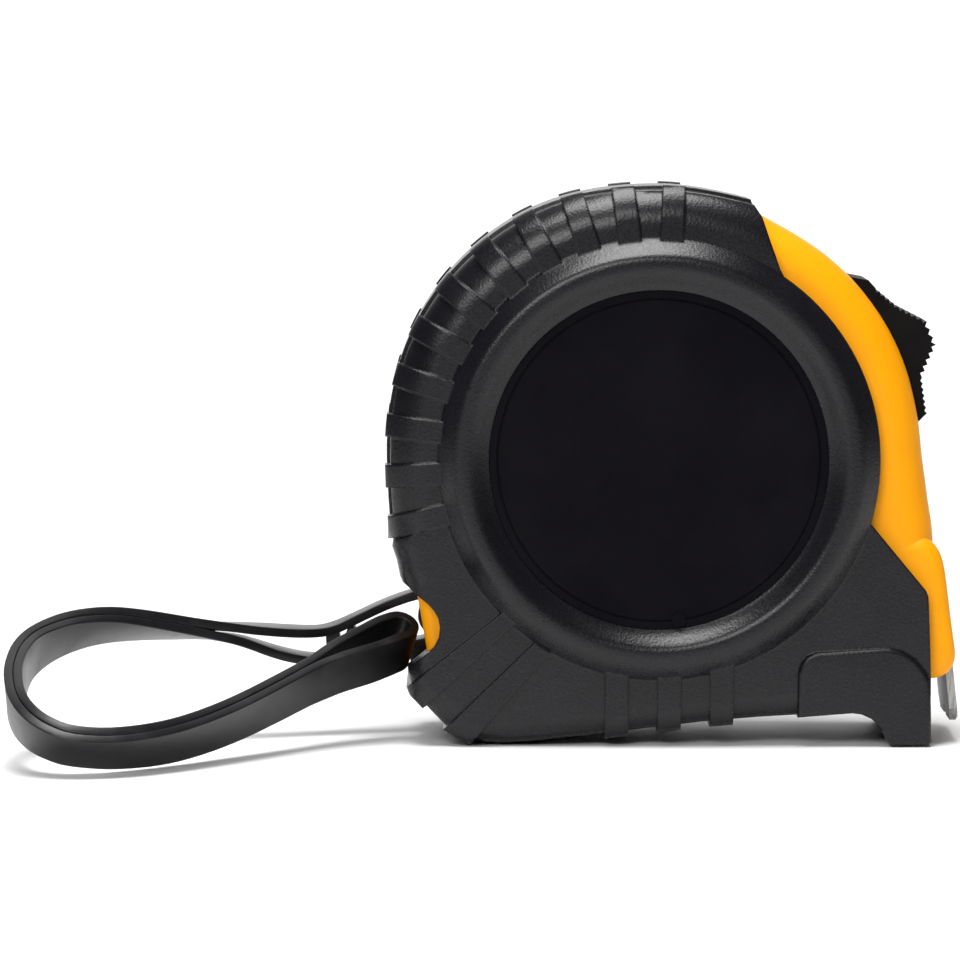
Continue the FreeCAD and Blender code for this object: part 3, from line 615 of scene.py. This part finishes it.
def clip_bead(x, y, z):
    # how deep the stiffening groove is pressed into the outer leaf
    if y < CLIP_OUTER_LEAF:
        return 0.0
    ends = min(z - CLIP_BEAD_LOW, CLIP_BEAD_TOP - z) / CLIP_BEAD_RUN
    fade = max(0.0, min(1.0, ends))
    return CLIP_BEAD * fade * math.exp(-(x / CLIP_BEAD_WIDE) ** 4)


def clip_section(half_width):
    # (across, through) pairs round the strip, with enough steps across for the groove
    half = CLIP_SHEET / 2
    flat = half_width - CLIP_EDGE
    shoulder = flat + CLIP_EDGE * CLIP_EASE
    drop = half - CLIP_EDGE * (1 - CLIP_EASE)
    face = [flat * (1 - 2 * k / CLIP_STEPS) for k in range(CLIP_STEPS + 1)]
    points = [(a, half) for a in face]
    points += [(-shoulder, drop), (-half_width, 0.0), (-shoulder, -drop)]
    points += [(-a, -half) for a in face]
    points += [(shoulder, -drop), (half_width, 0.0), (shoulder, drop)]
    return points


def make_clip():
    mesh = bmesh.new()
    line = smooth_line([(y, z, 0.0, wide) for y, z, wide in CLIP_LINE], 5)
    rings = []
    for i, (y, z, _, wide) in enumerate(line):
        ya, za = line[max(i - 1, 0)][:2]
        yb, zb = line[min(i + 1, len(line) - 1)][:2]
        length = math.hypot(yb - ya, zb - za)
        ny, nz = (zb - za) / length, -(yb - ya) / length
        ring = []
        for a, b in clip_section(wide):
            inward = CLIP_SHEET / 2 - b + clip_bead(a, y, z)
            ring.append((a, y + ny * inward, z + nz * inward))
        rings.append(ring)
    skin(mesh, rings, closed=False)
    bmesh.ops.recalc_face_normals(mesh, faces=mesh.faces)
    finish_piece(mesh, "clip_strip", "case", "belt_clip", "clip_steel")


# --- light, floor and camera ----------------------------------------------------------------

WORLD_GLOW = 0.1
CASE_MIDDLE = (0, 0, 36)
# name, place and aim in mm, width and height in metres, power in watts
LAMPS = (
    ("top soft box", (-60, -90, 620), CASE_MIDDLE, 0.3, 0.4, 5.4),
    ("front soft box", (-260, -900, 520), CASE_MIDDLE, 0.5, 0.35, 5.2),
    ("backdrop light", (0, 900, 1500), (0, 2400, 500), 1.6, 0.8, 40.0),
)


def soft_box(name, place, aim, width, height, power):
    lamp = bpy.data.lights.new(name, "AREA")
    lamp.shape = "RECTANGLE"
    lamp.size = width
    lamp.size_y = height
    lamp.energy = power
    thing = bpy.data.objects.new(name, lamp)
    thing.location = at(*place)
    thing.rotation_mode = "QUATERNION"
    thing.rotation_quaternion = (at(*aim) - at(*place)).to_track_quat("-Z", "Y")
    bpy.context.collection.objects.link(thing)


# the paper sweep, in metres
SWEEP_FRONT = -3.0
SWEEP_BACK = 1.2
SWEEP_BEND = 1.4
SWEEP_TOP = 4.0
SWEEP_HALF = 4.0
SWEEP_STEPS = 12
SWEEP_DROP = 0.0002


def pale_sweep():
    # a floor that curves up into a backdrop far behind
    profile = [(SWEEP_FRONT, 0.0), (SWEEP_BACK, 0.0)]
    for k in range(1, SWEEP_STEPS + 1):
        a = math.pi / 2 * k / SWEEP_STEPS
        profile.append((SWEEP_BACK + SWEEP_BEND * math.sin(a), SWEEP_BEND * (1 - math.cos(a))))
    profile.append((SWEEP_BACK + SWEEP_BEND, SWEEP_TOP))
    mesh = bpy.data.meshes.new("sweep")
    verts = [(x, y, z - SWEEP_DROP) for x in (-SWEEP_HALF, SWEEP_HALF) for y, z in profile]
    n = len(profile)
    faces = [(k, k + 1, n + k + 1, n + k) for k in range(n - 1)]
    mesh.from_pydata(verts, [], faces)
    mesh.polygons.foreach_set("use_smooth", [True] * len(mesh.polygons))
    floor = bpy.data.objects.new("sweep", mesh)
    bpy.context.collection.objects.link(floor)
    finish = Finish("pale floor", (0.93, 0.93, 0.93), gloss=0.1)
    cloud = finish.noise(60.0, 2.0)
    finish.colour(finish.mix(cloud, (0.92, 0.92, 0.92), (0.94, 0.94, 0.94)))
    mesh.materials.append(finish.material)


def light_room():
    world = bpy.data.worlds.new("studio")
    world.use_nodes = True
    background = world.node_tree.nodes["Background"]
    background.inputs["Color"].default_value = (1.0, 1.0, 1.0, 1.0)
    background.inputs["Strength"].default_value = WORLD_GLOW
    bpy.context.scene.world = world
    for lamp in LAMPS:
        soft_box(*lamp)
    bpy.context.scene.view_settings.view_transform = "Standard"


# distance, width of the view and clipping in metres, centre of the view and sensor in mm
CAMERA_DISTANCE = 0.8
CAMERA_RISE = math.radians(4.0)
VIEW_WIDTH = 0.1248
VIEW_CENTRE = (-22.83, 0, 33.05)
SENSOR = 36.0
NEAREST = 0.01
FURTHEST = 20.0


def place_camera():
    target = at(*VIEW_CENTRE)
    back = Vector((0, -math.cos(CAMERA_RISE), math.sin(CAMERA_RISE)))
    data = bpy.data.cameras.new("camera")
    data.sensor_width = SENSOR
    data.lens = SENSOR * CAMERA_DISTANCE / VIEW_WIDTH
    data.clip_start = NEAREST
    data.clip_end = FURTHEST
    camera = bpy.data.objects.new("camera", data)
    camera.location = target + back * CAMERA_DISTANCE
    camera.rotation_mode = "QUATERNION"
    camera.rotation_quaternion = (-back).to_track_quat("-Z", "Y")
    bpy.context.collection.objects.link(camera)
    bpy.context.scene.camera = camera


place_camera()
light_room()
pale_sweep()
dress_nodes()
make_strap()
make_clip()
